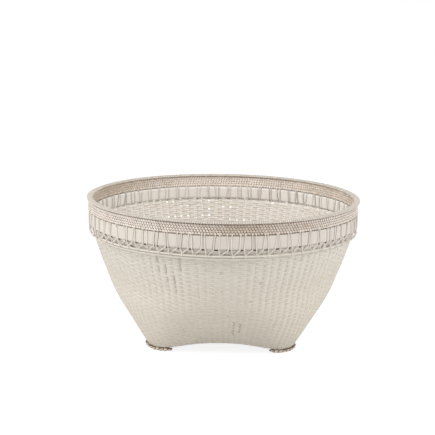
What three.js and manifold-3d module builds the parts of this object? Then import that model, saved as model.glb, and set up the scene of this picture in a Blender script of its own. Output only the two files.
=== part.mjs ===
// Open storage basket of whitened cane and split stakes: a round rim on a square base that stands on four
// wrapped feet. Sizes are in millimetres and +Z is up. The origin is on the floor under the middle of the
// base, and one side of the square base looks towards -Y.
import * as THREE from 'three';
import { mergeVertices } from 'three/addons/utils/BufferGeometryUtils.js';
import Module from 'manifold-3d';

const wasm = await Module();
wasm.setup();

// Fits shared by every pair of pieces.
const CLEARANCE = 0.3;
const FACETS = 48;

// Woven body: the outer face flares from the rounded square at the base to the circle at the rim, and
// stands upright between the hoops.
const BASE_HALF_WIDTH = 152;
const BASE_CORNER_RADIUS = 60;
const RIM_RADIUS = 272.4;
const WALL_THICKNESS = 3;
const FLARE_LOWER_HANDLE = 215;
const FLARE_LOWER_HANDLE_HEIGHT = 114;
const FLARE_UPPER_HANDLE = 224;
const FLARE_UPPER_HANDLE_HEIGHT = 74;
const ROUND_HEIGHT = 150;
const BASE_EDGE_ROUNDING = 4;
const BASE_ARCH_RISE = 13;
const BASE_ARCH_FLATNESS = 1.3;
const BASE_ARCH_FADE = 120;
const BASE_CENTRE_RISE = 14;
const WALL_LEVELS = 8;
const WEAVE_RELIEF = 1.2;
const FLOOR_LEVELS = 3;
const WALL_TOP_SETBACK = 0.8;

// Flat hoops that clamp the top of the wall, and the strand that lashes them.
const HOOP_BOTTOM_HEIGHT = 237;
const HOOP_WIDTH = 26;
const HOOP_THICKNESS = 2;
const LASHING_WIDTH = 2.2;
const LASHING_THICKNESS = 0.8;
const LASHING_LOOPS = 24;
const LASHING_HOLE_WIDTH = 5;
const LASHING_HOLE_HEIGHT = 2.2;
const LASHING_HOLE_DROP = 3;
const LASHING_HOOK_TURN = 0.13;
const LASHING_HOLE_TURN = 0.46;

// Round rod below the outer hoop. It runs more than one turn, and its tail lies under its head.
const LOWER_ROD_THICKNESS = 4;
const LOWER_ROD_DROP = 14;
const LOWER_ROD_TAIL_LOOP = 1;
const LOWER_ROD_OVERLAP_FACETS = 11;
const LOWER_ROD_RISE_FACETS = 4;

// Coil rods stacked on the hoops, a little outside the wall's outer face, and the strand that binds them.
const COIL_ROD_THICKNESS = 4.6;
const COIL_ROD_COUNT = 4;
const COIL_OUTSET = 0.6;
const COIL_BINDING_WIDTH = 1.6;
const COIL_BINDING_THICKNESS = 0.7;
const COIL_BINDING_LOOPS = 24;

// Border on top: two flat canes side by side in a wrapping.
const BORDER_CORE_WIDTH = 5.3;
const BORDER_CORE_THICKNESS = 3.6;
const BORDER_WRAP_THICKNESS = 0.8;
const BORDER_WRAP_BEVEL = 1;
const BORDER_WRAP_SLIT = 4;

// Feet: a bent rod under each corner of the base, wound with a flat strand.
const FOOT_CORE_RADIUS = 1.9;
const FOOT_WRAP_THICKNESS = 0.9;
const FOOT_WRAP_WIDTH = 3.2;
const FOOT_WRAP_LOOPS = 8;
const FOOT_WRAP_STEPS = 8;
const FOOT_SPAN = 86;
const FOOT_END_BARE = 3;
const FOOT_SEAT_GAP = 0.4;
const FOOT_SEAT_INSET = 3.5;
const FOOT_STEPS = 10;
const FOOT_FLAT_DEPTH = 0.5;

// Heights and radii that follow from the sizes above. The flats of a faceted ring lie nearer the axis than
// its corners by the factor FLAT_TO_CORNER.
const FLAT_TO_CORNER = Math.cos(Math.PI / FACETS);
const FOOT_WRAP_RADIUS = (FOOT_CORE_RADIUS + CLEARANCE + FOOT_WRAP_THICKNESS / 2)
  / Math.cos(Math.PI / FOOT_WRAP_STEPS);
const FOOT_RADIUS = FOOT_WRAP_RADIUS + FOOT_WRAP_THICKNESS / 2;
const BASE_EDGE_HEIGHT = 2 * FOOT_RADIUS - FOOT_FLAT_DEPTH + FOOT_SEAT_GAP;
const HOOP_TOP_HEIGHT = HOOP_BOTTOM_HEIGHT + HOOP_WIDTH;
const LOWER_ROD_HEIGHT = HOOP_BOTTOM_HEIGHT - LOWER_ROD_DROP;
const COIL_BOTTOM_HEIGHT = HOOP_TOP_HEIGHT + LASHING_THICKNESS + 2 * CLEARANCE;
const COIL_PITCH = COIL_ROD_THICKNESS + CLEARANCE;
const COIL_TOP_HEIGHT = COIL_BOTTOM_HEIGHT + COIL_ROD_COUNT * COIL_PITCH - CLEARANCE;
const COIL_RADIUS = RIM_RADIUS + COIL_OUTSET;
const BORDER_BOTTOM_HEIGHT = COIL_TOP_HEIGHT + COIL_BINDING_THICKNESS + 2 * CLEARANCE;
const BORDER_MIDDLE_HEIGHT = BORDER_BOTTOM_HEIGHT + BORDER_WRAP_THICKNESS + CLEARANCE
  + BORDER_CORE_THICKNESS / 2;

// The mesh helpers.

function geometryFrom(points, faces) {
  const geometry = new THREE.BufferGeometry();
  geometry.setAttribute('position', new THREE.Float32BufferAttribute(points.flat(), 3));
  geometry.setIndex(faces.flat());
  return geometry;
}

function signedVolume(geometry) {
  const [a, b, c] = [new THREE.Vector3(), new THREE.Vector3(), new THREE.Vector3()];
  const position = geometry.attributes.position;
  const index = geometry.index.array;
  let volume = 0;
  for (let i = 0; i < index.length; i += 3) {
    a.fromBufferAttribute(position, index[i]);
    b.fromBufferAttribute(position, index[i + 1]);
    c.fromBufferAttribute(position, index[i + 2]);
    volume += a.dot(b.cross(c)) / 6;
  }
  return volume;
}

// Merges shared corners and turns the faces outwards.
function closedSolid(geometry) {
  geometry.deleteAttribute('normal');
  geometry.deleteAttribute('uv');
  const merged = mergeVertices(geometry, 1e-3);
  if (signedVolume(merged) < 0) {
    const index = merged.index.array;
    for (let i = 0; i < index.length; i += 3) {
      [index[i], index[i + 1]] = [index[i + 1], index[i]];
    }
  }
  return merged;
}

function toManifold(geometry) {
  return new wasm.Manifold(new wasm.Mesh({
    numProp: 3,
    vertProperties: new Float32Array(geometry.attributes.position.array),
    triVerts: new Uint32Array(geometry.index.array),
  }));
}

function fromManifold(solid) {
  const mesh = solid.getMesh();
  const geometry = new THREE.BufferGeometry();
  geometry.setAttribute('position', new THREE.BufferAttribute(new Float32Array(mesh.vertProperties), 3));
  geometry.setIndex(new THREE.BufferAttribute(new Uint32Array(mesh.triVerts), 1));
  return geometry;
}

function cutBy(geometry, cutters) {
  let solid = toManifold(geometry);
  for (const cutter of cutters) {
    solid = solid.subtract(toManifold(closedSolid(cutter)));
  }
  return fromManifold(solid);
}

// Turns a closed outline of [radius, height] points round the Z axis, starting at -Y.
function ringSolid(outline) {
  const profile = [...outline, outline[0]].map(([radius, height]) => new THREE.Vector2(radius, height));
  return closedSolid(new THREE.LatheGeometry(profile, FACETS).rotateX(Math.PI / 2));
}

// Joins rings of equal counts into a skin, with a fan of faces onto a point at each end.
function skinSolid(firstPoint, rings, lastPoint) {
  const count = rings[0].length;
  const points = [firstPoint, ...rings.flat(), lastPoint];
  const faces = [];
  const at = (ring, k) => 1 + ring * count + (k % count);
  for (let k = 0; k < count; k += 1) {
    faces.push([0, at(0, k + 1), at(0, k)]);
    faces.push([points.length - 1, at(rings.length - 1, k), at(rings.length - 1, k + 1)]);
    for (let ring = 0; ring < rings.length - 1; ring += 1) {
      faces.push([at(ring, k), at(ring, k + 1), at(ring + 1, k + 1)]);
      faces.push([at(ring, k), at(ring + 1, k + 1), at(ring + 1, k)]);
    }
  }
  return closedSolid(geometryFrom(points, faces));
}

// Sweeps a section of [across, outward] points along a route of { point, outward } stations.
function sweptSolid(route, section) {
  const rings = route.map(({ point, outward }, i) => {
    const before = route[Math.max(i - 1, 0)].point;
    const after = route[Math.min(i + 1, route.length - 1)].point;
    const along = after.clone().sub(before).normalize();
    const normal = outward.clone().addScaledVector(along, -outward.dot(along)).normalize();
    const across = new THREE.Vector3().crossVectors(along, normal);
    return section.map(([a, n]) => point.clone().addScaledVector(across, a).addScaledVector(normal, n).toArray());
  });
  return skinSolid(route[0].point.toArray(), rings, route[route.length - 1].point.toArray());
}

function flatSection(width, thickness) {
  const [w, t] = [width / 2, thickness / 2];
  return [[-w, -t], [w, -t], [w, t], [-w, t]];
}

// A six-sided rod has a flat above and a flat below, and a corner at each side.
function rodReach(thickness) {
  return thickness / 2 / Math.cos(Math.PI / 6);
}

function rodSection(thickness) {
  const corner = rodReach(thickness);
  return [0, 1, 2, 3, 4, 5].map((k) => [corner * Math.cos(k * Math.PI / 3), corner * Math.sin(k * Math.PI / 3)]);
}

// A point at a share of a turn from -Y, anticlockwise seen from above.
function polar(turn, radius, height) {
  const angle = turn * 2 * Math.PI;
  return new THREE.Vector3(radius * Math.sin(angle), -radius * Math.cos(angle), height);
}

// A route from loops of [share of a loop, radius, height, outward, up] stations, where the last two give
// the direction that the strand's outer face looks in.
function woundRoute(loops, stationsOf) {
  const route = [];
  for (let k = 0; k < loops; k += 1) {
    for (const [share, radius, height, outward, up] of stationsOf((share) => (k + share) / loops)) {
      const turn = (k + share) / loops;
      route.push({ point: polar(turn, radius, height), outward: polar(turn, outward, up) });
    }
  }
  return route;
}

// The least gap between stretches of a route that are more than one loop's leg apart along it.
function leastGap(route, thickness, apart) {
  const length = [0];
  for (let i = 1; i < route.length; i += 1) {
    length.push(length[i - 1] + route[i].point.distanceTo(route[i - 1].point));
  }
  const samples = [];
  for (let i = 1; i < route.length; i += 1) {
    for (const share of [0, 0.25, 0.5, 0.75]) {
      samples.push({
        point: route[i - 1].point.clone().lerp(route[i].point, share),
        length: length[i - 1] + share * (length[i] - length[i - 1]),
      });
    }
  }
  let least = Infinity;
  for (let i = 0; i < samples.length; i += 1) {
    for (let j = i + 1; j < samples.length; j += 1) {
      if (samples[j].length - samples[i].length > apart) {
        least = Math.min(least, samples[i].point.distanceTo(samples[j].point));
      }
    }
  }
  return least - thickness;
}

// The shape of the woven wall.

const FLARE = new THREE.CubicBezierCurve(
  new THREE.Vector2(BASE_HALF_WIDTH, BASE_EDGE_HEIGHT + BASE_EDGE_ROUNDING),
  new THREE.Vector2(FLARE_LOWER_HANDLE, FLARE_LOWER_HANDLE_HEIGHT),
  new THREE.Vector2(FLARE_UPPER_HANDLE, FLARE_UPPER_HANDLE_HEIGHT),
  new THREE.Vector2(RIM_RADIUS, HOOP_BOTTOM_HEIGHT),
);

// Half the outer width of the wall at a height, found by halving. It stays the same above the flare.
function wallHalfWidth(height) {
  let [low, high] = [0, 1];
  for (let step = 0; step < 40; step += 1) {
    const middle = (low + high) / 2;
    if (FLARE.getPoint(middle).y < height) {
      low = middle;
    } else {
      high = middle;
    }
  }
  return FLARE.getPoint(low).x;
}

// A point on the outline of a square with round corners, at a share of its length from the middle of the
// front side, anticlockwise seen from above.
function roundedSquare(share, halfWidth, cornerRadius) {
  const straight = halfWidth - cornerRadius;
  const arc = cornerRadius * Math.PI / 2;
  const side = 2 * straight + arc;
  const quarter = Math.floor(share * 4);
  const distance = share * 4 * side - quarter * side;
  let point;
  if (distance <= straight) {
    point = new THREE.Vector2(distance, -halfWidth);
  } else if (distance < straight + arc) {
    const angle = (distance - straight) / cornerRadius;
    point = new THREE.Vector2(
      straight + cornerRadius * Math.sin(angle),
      -straight - cornerRadius * Math.cos(angle),
    );
  } else {
    point = new THREE.Vector2(halfWidth, distance - arc - 2 * straight);
  }
  return point.rotateAround(new THREE.Vector2(0, 0), quarter * Math.PI / 2);
}

function cornerRadiusAt(height, halfWidth) {
  const share = THREE.MathUtils.smoothstep(height, BASE_EDGE_HEIGHT, ROUND_HEIGHT);
  return THREE.MathUtils.lerp(BASE_CORNER_RADIUS / BASE_HALF_WIDTH, 1, share) * halfWidth;
}

// How far the base edge is arched up above its corners.
function archRise(share) {
  const fall = (1 - Math.cos(share * 8 * Math.PI)) / 2;
  return BASE_ARCH_RISE * (1 - fall ** BASE_ARCH_FLATNESS);
}

// A ring of corners, with the middle of each flat between them.
function ringOf(pointAt) {
  const corners = Array.from({ length: FACETS }, (_, k) => pointAt(k / FACETS));
  return corners.flatMap((corner, k) => {
    const next = corners[(k + 1) % FACETS];
    return [corner, corner.map((value, axis) => (value + next[axis]) / 2)];
  });
}

function wallRing(height, inset) {
  const halfWidth = wallHalfWidth(height);
  const cornerRadius = cornerRadiusAt(height, halfWidth);
  const fade = Math.max(0, 1 - (height - BASE_EDGE_HEIGHT) / BASE_ARCH_FADE) ** 2;
  return ringOf((share) => {
    const { x, y } = roundedSquare(share, halfWidth - inset, cornerRadius - inset);
    return [x, y, height + archRise(share) * fade];
  });
}

// The weave is a thinner sheet that passes in turn to the outside and the inside of the wall's thickness,
// round the wall and from level to level.
function wovenRing(height, inset, level) {
  const raised = wallRing(height, inset);
  const sunk = wallRing(height, inset + WEAVE_RELIEF);
  return raised.map((point, k) => ((k + level) % 2 ? sunk[k] : point));
}

function floorRing(scale, inset, lift) {
  const halfWidth = BASE_HALF_WIDTH - BASE_EDGE_ROUNDING - inset;
  const cornerRadius = BASE_CORNER_RADIUS - BASE_EDGE_ROUNDING - inset;
  return ringOf((share) => {
    const { x, y } = roundedSquare(share, halfWidth * scale, cornerRadius * scale);
    const rise = archRise(share) * scale ** 2 + BASE_CENTRE_RISE * (1 - scale ** 2);
    return [x, y, BASE_EDGE_HEIGHT + rise + lift];
  });
}

function wovenBody() {
  const edge = BASE_EDGE_HEIGHT + BASE_EDGE_ROUNDING;
  const woven = [];
  for (let k = 1; k < WALL_LEVELS; k += 1) {
    woven.push(edge + (HOOP_BOTTOM_HEIGHT - edge) * k / WALL_LEVELS);
  }
  const wallRings = (inset, wovenInset, edgeLift) => [
    wallRing(edge + edgeLift, inset),
    ...woven.map((height, level) => wovenRing(height, wovenInset, level)),
    wallRing(HOOP_BOTTOM_HEIGHT, inset),
    wallRing(HOOP_TOP_HEIGHT - WALL_TOP_SETBACK, inset),
  ];
  const scales = [];
  for (let k = 1; k <= FLOOR_LEVELS; k += 1) {
    scales.push(k / FLOOR_LEVELS);
  }
  const centre = BASE_EDGE_HEIGHT + BASE_CENTRE_RISE;
  const outside = [
    ...scales.map((scale) => floorRing(scale, 0, 0)),
    ...wallRings(0, 0, 0),
  ];
  const inside = [
    ...scales.map((scale) => floorRing(scale, WALL_THICKNESS, WALL_THICKNESS)),
    ...wallRings(WALL_THICKNESS, WALL_THICKNESS - WEAVE_RELIEF, WALL_THICKNESS / 2),
  ];
  const skin = skinSolid([0, 0, centre], [...outside, ...inside.reverse()], [0, 0, centre + WALL_THICKNESS]);
  const holeHeight = HOOP_BOTTOM_HEIGHT - LASHING_HOLE_DROP;
  const holeRadius = wallHalfWidth(holeHeight) - WALL_THICKNESS / 2;
  const holes = Array.from({ length: LASHING_LOOPS }, (_, k) => {
    const turn = (k + LASHING_HOLE_TURN) / LASHING_LOOPS;
    const hole = new THREE.BoxGeometry(LASHING_HOLE_WIDTH, 6 * WALL_THICKNESS, LASHING_HOLE_HEIGHT);
    const { x, y, z } = polar(turn, holeRadius, holeHeight);
    return hole.rotateZ(turn * 2 * Math.PI).translate(x, y, z);
  });
  return cutBy(skin, holes);
}

// The rim.

function hoopOutline(faceRadius) {
  const heights = [HOOP_BOTTOM_HEIGHT, HOOP_TOP_HEIGHT];
  return [
    ...heights.map((height) => [faceRadius(height), height]),
    ...heights.reverse().map((height) => [faceRadius(height) + HOOP_THICKNESS, height]),
  ];
}

function outerHoop() {
  return ringSolid(hoopOutline((height) => wallHalfWidth(height) + CLEARANCE));
}

function innerHoop() {
  return ringSolid(hoopOutline((height) => wallHalfWidth(height) - WALL_THICKNESS - CLEARANCE - HOOP_THICKNESS));
}

function coilRod(number) {
  const height = COIL_BOTTOM_HEIGHT + (number - 1) * COIL_PITCH + COIL_ROD_THICKNESS / 2;
  return ringSolid(rodSection(COIL_ROD_THICKNESS).map(([r, z]) => [COIL_RADIUS + r, height + z]));
}

// One of the two flat canes in the border: side is 1 for the outer one and -1 for the inner one.
function borderCore(side) {
  const middle = COIL_RADIUS + side * (BORDER_CORE_WIDTH + CLEARANCE) / 2;
  const [w, t] = [BORDER_CORE_WIDTH / 2, BORDER_CORE_THICKNESS / 2];
  const flat = w - t * Math.tan(Math.PI / 6);
  return ringSolid([[w, 0], [flat, t], [-flat, t], [-w, 0], [-flat, -t], [flat, -t]].map(
    ([r, z]) => [middle + r, BORDER_MIDDLE_HEIGHT + z],
  ));
}

// The wrapping is a sleeve round both canes, open along a slit underneath.
function borderWrap() {
  const innerWidth = BORDER_CORE_WIDTH + 1.5 * CLEARANCE;
  const innerHeight = BORDER_CORE_THICKNESS / 2 + CLEARANCE;
  const [w, h] = [innerWidth + BORDER_WRAP_THICKNESS, innerHeight + BORDER_WRAP_THICKNESS];
  const [bevel, slit] = [BORDER_WRAP_BEVEL, BORDER_WRAP_SLIT / 2];
  const right = [
    [slit, -h], [w - bevel, -h], [w, bevel - h], [w, h - bevel], [w - bevel, h],
  ];
  const left = right.map(([r, z]) => [-r, z]).reverse();
  const inner = [
    [-slit, -innerHeight], [-innerWidth, -innerHeight], [-innerWidth, innerHeight],
    [innerWidth, innerHeight], [innerWidth, -innerHeight], [slit, -innerHeight],
  ];
  return ringSolid([...right, ...left, ...inner].map(([r, z]) => [COIL_RADIUS + r, BORDER_MIDDLE_HEIGHT + z]));
}

// The rod stands off the wall by the strand that hooks behind it.
function lowerRodRadius(height) {
  const top = wallHalfWidth(height + LOWER_ROD_THICKNESS / 2);
  return top + 2 * CLEARANCE + LASHING_THICKNESS + rodReach(LOWER_ROD_THICKNESS);
}

// The height of the rod at a number of facets back from the end of its tail.
function lowerRodHeight(facetsBack) {
  const pitch = LOWER_ROD_THICKNESS + 2 * (CLEARANCE + LASHING_THICKNESS);
  const end = LOWER_ROD_OVERLAP_FACETS + LOWER_ROD_RISE_FACETS;
  const risen = THREE.MathUtils.smoothstep(facetsBack, LOWER_ROD_OVERLAP_FACETS, end);
  return LOWER_ROD_HEIGHT - (1 - risen) * pitch;
}

const LOWER_ROD_TAIL_TURN = (LOWER_ROD_TAIL_LOOP + LASHING_HOOK_TURN) / LASHING_LOOPS;

function lowerRod() {
  const facets = FACETS + LOWER_ROD_OVERLAP_FACETS;
  const route = Array.from({ length: facets + 1 }, (_, k) => {
    const height = lowerRodHeight(k);
    const turn = LOWER_ROD_TAIL_TURN - k / FACETS;
    return { point: polar(turn, lowerRodRadius(height), height), outward: new THREE.Vector3(0, 0, 1) };
  });
  return sweptSolid(route, rodSection(LOWER_ROD_THICKNESS));
}

// Where a strand hooks the rod, it takes the head where head and tail lie one above the other.
function hookedRodHeight(turn) {
  const facetsBack = (1 + LOWER_ROD_TAIL_TURN - turn) % 1 * FACETS;
  return facetsBack < LOWER_ROD_OVERLAP_FACETS ? LOWER_ROD_HEIGHT : lowerRodHeight(facetsBack);
}

// One strand lashes the hoops: down over the outer hoop, round the lower rod, up to a hole in the wall, in
// through it, up over the inner hoop and across the top to the next loop.
function lashingRoute() {
  const off = CLEARANCE + LASHING_THICKNESS / 2;
  const [low, top] = [HOOP_BOTTOM_HEIGHT, HOOP_TOP_HEIGHT];
  const holeHeight = low - LASHING_HOLE_DROP;
  const outerFace = (height) => wallHalfWidth(height) + CLEARANCE + HOOP_THICKNESS;
  const innerFace = (height) => (
    (wallHalfWidth(height) - WALL_THICKNESS - CLEARANCE - HOOP_THICKNESS) * FLAT_TO_CORNER
  );
  const reach = rodReach(LOWER_ROD_THICKNESS) + off;
  const rodHalf = LOWER_ROD_THICKNESS / 2;
  const [hook, hole] = [LASHING_HOOK_TURN, LASHING_HOLE_TURN];
  return woundRoute(LASHING_LOOPS, (turnOf) => {
    const rodHeight = hookedRodHeight(turnOf(hook));
    const rod = lowerRodRadius(rodHeight);
    return [
      [0, outerFace(top) + CLEARANCE, top + off, 0, 1],
      [0, outerFace(top) + off, top, 1, 0],
      [0, outerFace(low) + off, low, 1, 0],
      [hook, rod + reach, rodHeight + rodHalf, 1, 0],
      [hook, rod + reach, rodHeight - rodHalf / 2, 1, 0],
      [hook, rod + 0.75 * rodHalf, rodHeight - rodHalf - off, 0, -1],
      [hook, rod - 0.75 * rodHalf, rodHeight - rodHalf - off, 0, -1],
      [hook, rod - reach, rodHeight - rodHalf / 2, -1, 0],
      [hook, rod - reach, rodHeight + rodHalf, -1, 0],
      [hole, wallHalfWidth(holeHeight) + off, holeHeight, -1, 0],
      [hole, wallHalfWidth(holeHeight), holeHeight, 0, -1],
      [hole, wallHalfWidth(holeHeight) - WALL_THICKNESS - off, holeHeight, 0, -1],
      [hole, innerFace(low) - off, low, -1, 0],
      [1, innerFace(top) - off, top, -1, 0],
      [1, innerFace(top) - CLEARANCE, top + off, 0, 1],
    ];
  });
}

// One strand binds the coil rods: down the outside, under the lowest rod, up the inside and over the top.
function coilBindingRoute() {
  const off = CLEARANCE + COIL_BINDING_THICKNESS / 2;
  const outer = COIL_RADIUS + rodReach(COIL_ROD_THICKNESS);
  const inner = (COIL_RADIUS - rodReach(COIL_ROD_THICKNESS)) * FLAT_TO_CORNER;
  const [low, top] = [COIL_BOTTOM_HEIGHT, COIL_TOP_HEIGHT];
  return woundRoute(COIL_BINDING_LOOPS, () => [
    [0, outer, top + off, 0, 1],
    [0, outer + off, top, 1, 0],
    [0.5, outer + off, low, 1, 0],
    [0.5, outer, low - off, 0, -1],
    [0.5, inner, low - off, 0, -1],
    [0.5, inner - off, low, -1, 0],
    [1, inner - off, top, -1, 0],
    [1, inner, top + off, 0, 1],
  ]);
}

// The feet.

// The middle line of a foot at a distance along it from the corner: it follows the base edge.
function footPoint(corner, distance) {
  const halfWidth = BASE_HALF_WIDTH - FOOT_SEAT_INSET;
  const cornerRadius = BASE_CORNER_RADIUS - FOOT_SEAT_INSET;
  const outline = 8 * (halfWidth - cornerRadius) + 2 * Math.PI * cornerRadius;
  const share = (corner + 0.5) / 4 + distance / outline;
  const { x, y } = roundedSquare(share, halfWidth, cornerRadius);
  const height = BASE_EDGE_HEIGHT + archRise(share) - FOOT_SEAT_GAP - FOOT_RADIUS;
  return new THREE.Vector3(x, y, height);
}

function footCore(corner) {
  const up = new THREE.Vector3(0, 0, 1);
  const route = Array.from({ length: FOOT_STEPS + 1 }, (_, k) => (
    { point: footPoint(corner, FOOT_SPAN * (k / FOOT_STEPS - 0.5)), outward: up }
  ));
  return sweptSolid(route, rodSection(2 * FOOT_CORE_RADIUS * Math.cos(Math.PI / 6)));
}

function footWrapRoute(corner) {
  const up = new THREE.Vector3(0, 0, 1);
  const steps = FOOT_WRAP_LOOPS * FOOT_WRAP_STEPS;
  const span = FOOT_SPAN - 2 * FOOT_END_BARE - FOOT_WRAP_WIDTH;
  return Array.from({ length: steps + 1 }, (_, k) => {
    const distance = span * (k / steps - 0.5);
    const middle = footPoint(corner, distance);
    const along = footPoint(corner, distance + 1).sub(footPoint(corner, distance - 1)).normalize();
    const side = new THREE.Vector3().crossVectors(along, up).normalize();
    const above = new THREE.Vector3().crossVectors(side, along);
    const angle = 2 * Math.PI * k / FOOT_WRAP_STEPS;
    const outward = side.multiplyScalar(Math.cos(angle)).addScaledVector(above, Math.sin(angle));
    return { point: middle.addScaledVector(outward, FOOT_WRAP_RADIUS), outward };
  });
}

// The wrapping is flattened where it stands on the floor.
function footWrap(corner) {
  const wrap = sweptSolid(footWrapRoute(corner), flatSection(FOOT_WRAP_WIDTH, FOOT_WRAP_THICKNESS));
  const floor = new THREE.BoxGeometry(4 * BASE_HALF_WIDTH, 4 * BASE_HALF_WIDTH, FOOT_RADIUS);
  return cutBy(wrap, [floor.translate(0, 0, -FOOT_RADIUS / 2)]);
}

// The assembly.

const FINISHES = {
  weave: { color: 0xd6cdbb, roughness: 0.75 },
  hoop: { color: 0xddd5c6, roughness: 0.55 },
  coil: { color: 0xcdb9a0, roughness: 0.7 },
  strand: { color: 0xe0d8c8, roughness: 0.6 },
  core: { color: 0xc2a988, roughness: 0.8 },
};

const basket = new THREE.Group();

function addPiece(name, geometry, finish) {
  const material = new THREE.MeshStandardMaterial({ ...FINISHES[finish], metalness: 0, flatShading: true });
  const mesh = new THREE.Mesh(geometry, material);
  mesh.name = name;
  basket.add(mesh);
}

addPiece('woven_body', wovenBody(), 'weave');
addPiece('outer_hoop', outerHoop(), 'hoop');
addPiece('inner_hoop', innerHoop(), 'hoop');
for (let number = 1; number <= COIL_ROD_COUNT; number += 1) {
  addPiece(`coil_rod_${number}`, coilRod(number), 'coil');
}
addPiece('border_core_outer', borderCore(1), 'core');
addPiece('border_core_inner', borderCore(-1), 'core');
addPiece('border_wrap', borderWrap(), 'strand');
addPiece('lower_rod', lowerRod(), 'strand');

const lashing = lashingRoute();
const coilBinding = coilBindingRoute();
addPiece('hoop_lashing', sweptSolid(lashing, flatSection(LASHING_WIDTH, LASHING_THICKNESS)), 'strand');
addPiece(
  'coil_binding',
  sweptSolid(coilBinding, flatSection(COIL_BINDING_WIDTH, COIL_BINDING_THICKNESS)),
  'strand',
);

['front_right', 'rear_right', 'rear_left', 'front_left'].forEach((place, corner) => {
  addPiece(`foot_${place}_core`, footCore(corner), 'core');
  addPiece(`foot_${place}_wrap`, footWrap(corner), 'strand');
});

const leg = 3 * LASHING_WIDTH;
console.log('least gap of the hoop lashing to itself:', leastGap(lashing, LASHING_WIDTH, leg).toFixed(2), 'mm');
console.log(
  'least gap of the coil binding to itself:',
  leastGap(coilBinding, COIL_BINDING_WIDTH, 3 * COIL_BINDING_WIDTH).toFixed(2),
  'mm',
);
console.log(
  'least gap of a foot wrapping to itself:',
  leastGap(footWrapRoute(0), FOOT_WRAP_WIDTH, Math.PI * FOOT_WRAP_RADIUS).toFixed(2),
  'mm',
);

export default basket;
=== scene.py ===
import math

import bpy
import numpy as np
from mathutils import Matrix, Vector


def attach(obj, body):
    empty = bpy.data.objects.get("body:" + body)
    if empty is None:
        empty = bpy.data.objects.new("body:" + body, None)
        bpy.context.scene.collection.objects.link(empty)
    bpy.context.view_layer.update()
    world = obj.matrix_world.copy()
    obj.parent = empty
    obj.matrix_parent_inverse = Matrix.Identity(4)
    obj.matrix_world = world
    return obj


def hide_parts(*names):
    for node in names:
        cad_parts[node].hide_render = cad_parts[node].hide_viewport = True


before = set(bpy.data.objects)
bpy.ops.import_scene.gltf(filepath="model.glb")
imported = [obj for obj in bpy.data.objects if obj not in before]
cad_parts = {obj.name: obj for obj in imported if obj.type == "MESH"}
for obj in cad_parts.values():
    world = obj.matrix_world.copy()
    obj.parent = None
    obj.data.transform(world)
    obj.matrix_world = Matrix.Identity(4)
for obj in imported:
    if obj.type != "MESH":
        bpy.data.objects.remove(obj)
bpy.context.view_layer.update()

MM = 0.001

# Sizes of the basket in millimetres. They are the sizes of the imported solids.
BASE_HALF_WIDTH, BASE_CORNER, RIM_RADIUS, WALL_THICKNESS = 152.0, 60.0, 272.4, 3.0
BASE_EDGE, EDGE_RADIUS, ROUND_HEIGHT = 6.536, 4.0, 150.0
ARCH_RISE, ARCH_FLATNESS, ARCH_FADE, CENTRE_RISE = 13.0, 1.3, 120.0, 14.0
HOOP_LOW, HOOP_TOP, HOOP_THICKNESS, HOOP_GAP = 237.0, 263.0, 2.0, 0.3
COIL_RADIUS, COIL_LOW, COIL_PITCH, COIL_ROD, COIL_RODS = 273.0, 264.4, 4.9, 4.6, 4
COIL_TOP = COIL_LOW + (COIL_RODS - 1) * COIL_PITCH + COIL_ROD
BORDER_MIDDLE, BORDER_WIDTH, BORDER_HEIGHT, BORDER_STRAND = 287.9, 13.0, 5.8, 0.9
BORDER_CANE_OFFSET, BORDER_CANE_WIDTH, BORDER_CANE_HEIGHT = 2.8, 5.2, 3.6
LOWER_ROD_HEIGHT, LOWER_ROD, LOWER_ROD_GAP = 223.0, 4.0, 1.4
FOOT_RADIUS, FOOT_CANE, FOOT_SPAN, FOOT_INSET, FOOT_OVERLAP = 3.318, 3.8, 86.0, 3.5, 0.2
FOOT_WIDTH, FOOT_HEIGHT, FOOT_STRAND_WIDTH, FOOT_STRAND = 6.0, 5.4, 7.2, 2.4

# Widths and heights of the curve that the side of the wall follows.
FLARE = np.array([[BASE_HALF_WIDTH, BASE_EDGE + EDGE_RADIUS], [215.0, 114.0], [224.0, 74.0],
                  [RIM_RADIUS, HOOP_LOW]])

# Counts. A quarter of the stakes leave each side of the base, and the weavers run round them.
STAKES, ROWS, ROWS_ROUND_EDGE = 104, 54, 3
PAIRS, COIL_STITCHES, BORDER_TURNS, FOOT_TURNS = 72, 296, 400, 8

# The strips of the weave. Its depth is how far their middle lies under the wall's outer face, and
# BASE_MIDDLE how far it lies over the underside of the base.
STAKE_THICKNESS, WEAVER_THICKNESS, WEAVER_WIDTH, WEAVE_DEPTH = 0.7, 0.8, 4.45, 1.1
EDGE_ROW_STEP, WEAVER_SWING, STAKE_SWING, BASE_SWING = 4.4, 0.36, 0.12, 0.5
STAKE_FILL, USUAL_STAKE_WIDTH = 0.93, 12.0
SLIM_STAKE, SLIM_STAKE_HEIGHT = 0.76, 190.0
SLIM_WEAVER, SLIM_CHANCE, SLIM_CHANCE_LOOSE = 0.74, 0.005, 0.7
PINHOLE_LIFT, PINHOLE_GIRTH = 0.16, 0.75
BASE_MIDDLE = 1.6


# Arithmetic on node sockets, so that a formula reads as a formula in both kinds of tree.

class Term:
    """A socket that takes part in plain arithmetic."""

    def __init__(self, net, socket):
        self.net, self.socket = net, socket

    def __add__(self, other):
        return self.net.arith("ADD", self, other)

    def __radd__(self, other):
        return self.net.arith("ADD", other, self)

    def __sub__(self, other):
        return self.net.arith("SUBTRACT", self, other)

    def __rsub__(self, other):
        return self.net.arith("SUBTRACT", other, self)

    def __mul__(self, other):
        return self.net.arith("MULTIPLY", self, other)

    def __truediv__(self, other):
        return self.net.arith("DIVIDE", self, other)

    def __pow__(self, other):
        return self.net.arith("POWER", self, other)

    def __mod__(self, other):
        return self.net.arith("FLOORED_MODULO", self, other)

    def __neg__(self):
        return self.net.arith("MULTIPLY", self, -1.0)


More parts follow.
